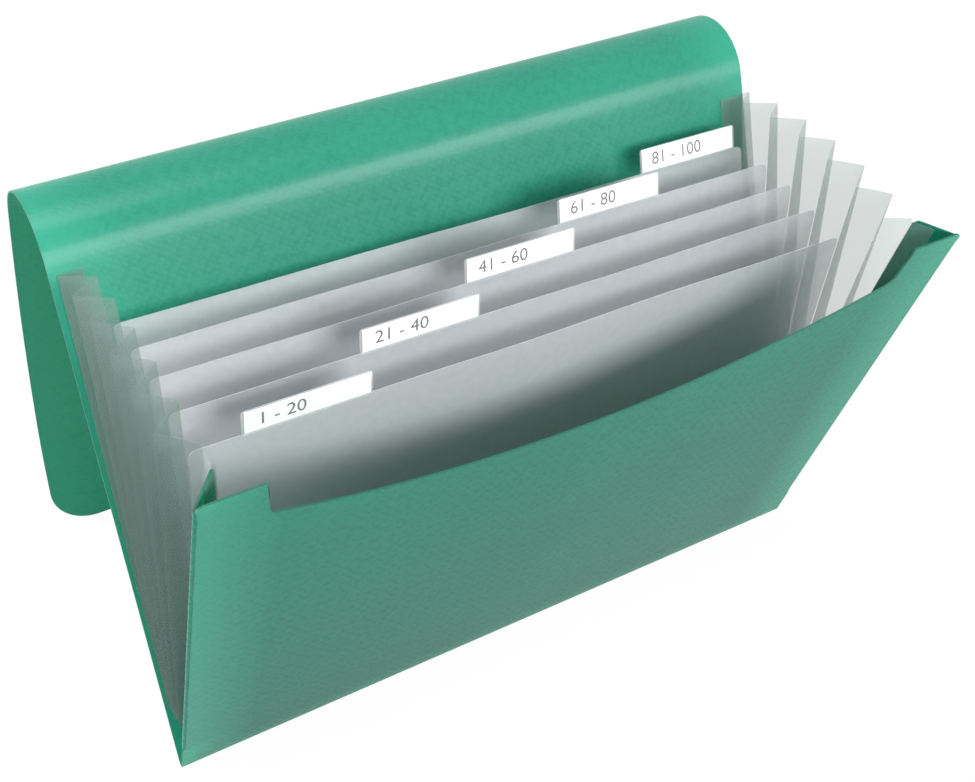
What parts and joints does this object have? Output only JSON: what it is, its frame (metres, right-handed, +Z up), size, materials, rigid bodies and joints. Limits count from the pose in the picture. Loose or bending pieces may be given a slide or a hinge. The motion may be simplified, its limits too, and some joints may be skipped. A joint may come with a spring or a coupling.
{
  "type": "expanding file folder",
  "caption": "Expanding file folder standing open: scooped film cover with a rolled-back flap, pleated side gussets and tabbed dividers with label cards.",
  "frame": {"origin": "middle of the folder's footprint, on the surface it stands on", "axes": "+X along the bottom fold to the right, +Y to the back where the flap hangs, +Z up"},
  "size_m": [0.3386, 0.234, 0.2353],
  "materials": {
    "cover_film": "frosted translucent film with a fine embossed weave",
    "gusset_film": "frosted clear film",
    "divider_film": "frosted clear film",
    "clear_film": "clear glossy film",
    "card": "uncoated white card"
  },
  "bodies": {
    "root": {"cover": "cover_film", "return_left": "cover_film", "return_right": "cover_film", "gusset_left_back_weld": "gusset_film", "gusset_right_back_weld": "gusset_film", "gusset_left_pleat_1": "gusset_film", "gusset_right_pleat_1": "gusset_film", "gusset_left_pleat_2": "gusset_film", "gusset_right_pleat_2": "gusset_film", "gusset_left_pleat_3": "gusset_film", "gusset_right_pleat_3": "gusset_film", "gusset_left_pleat_4": "gusset_film", "gusset_right_pleat_4": "gusset_film", "gusset_left_pleat_5": "gusset_film", "gusset_right_pleat_5": "gusset_film", "gusset_left_pleat_6": "gusset_film", "gusset_right_pleat_6": "gusset_film", "gusset_left_pleat_7": "gusset_film", "gusset_right_pleat_7": "gusset_film", "gusset_left_pleat_8": "gusset_film", "gusset_right_pleat_8": "gusset_film", "gusset_left_pleat_9": "gusset_film", "gusset_right_pleat_9": "gusset_film", "gusset_left_pleat_10": "gusset_film", "gusset_right_pleat_10": "gusset_film", "gusset_left_pleat_11": "gusset_film", "gusset_right_pleat_11": "gusset_film", "gusset_left_pleat_12": "gusset_film", "gusset_right_pleat_12": "gusset_film", "gusset_left_wrap": "gusset_film", "gusset_right_wrap": "gusset_film", "gusset_left_front_weld": "gusset_film", "gusset_right_front_weld": "gusset_film", "divider_1": "divider_film", "divider_2": "divider_film", "divider_3": "divider_film", "divider_4": "divider_film", "divider_5": "divider_film", "tab_sleeve_1": "clear_film", "tab_sleeve_2": "clear_film", "tab_sleeve_3": "clear_film", "tab_sleeve_4": "clear_film", "tab_sleeve_5": "clear_film", "label_card_1": "card", "label_card_2": "card", "label_card_3": "card", "label_card_4": "card", "label_card_5": "card"}
  },
  "joints": []
}
